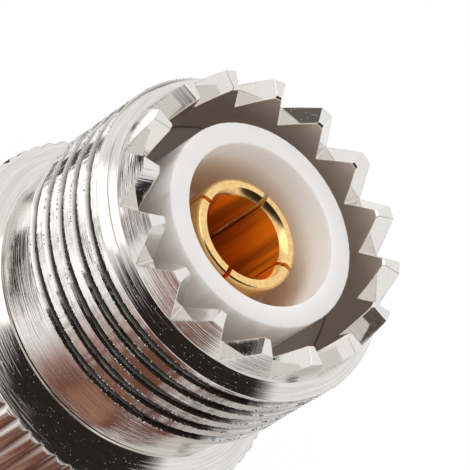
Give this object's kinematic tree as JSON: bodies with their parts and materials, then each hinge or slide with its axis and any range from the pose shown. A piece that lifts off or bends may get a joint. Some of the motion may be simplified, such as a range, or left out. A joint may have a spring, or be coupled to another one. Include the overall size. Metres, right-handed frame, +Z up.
{
  "type": "coax adapter",
  "caption": "Straight coaxial adapter: threaded socket with a toothed rim, white insulator and slotted gold contact at one end, plug pin inside a knurled coupling nut at the other.",
  "frame": {"origin": "centre of the bounding box's bottom face, on the axis at the coupling nut's open end", "axes": "+Z up the adapter's axis towards the toothed socket mouth; +X through the crest of one rim tooth"},
  "size_m": [0.0178, 0.0178, 0.029],
  "materials": {
    "nickel_plate": "bright nickel plate on turned brass",
    "nickel_plate_nut": "bright nickel plate on turned and knurled brass",
    "gold_plate": "gold plate on turned brass",
    "ptfe": "white fluoropolymer, turned"
  },
  "bodies": {
    "adapter": {"socket_shell": "nickel_plate", "front_insulator": "ptfe", "centre_contact": "gold_plate", "plug_pin": "gold_plate", "rear_insulator": "ptfe", "plug_body": "nickel_plate"},
    "nut": {"coupling_nut": "nickel_plate_nut"}
  },
  "joints": [
    {"name": "nut_turn", "type": "hinge", "parent": "adapter", "child": "nut", "pos_m": [0, 0, 0.0172], "axis": [0, 0, 1], "continuous": true}
  ]
}
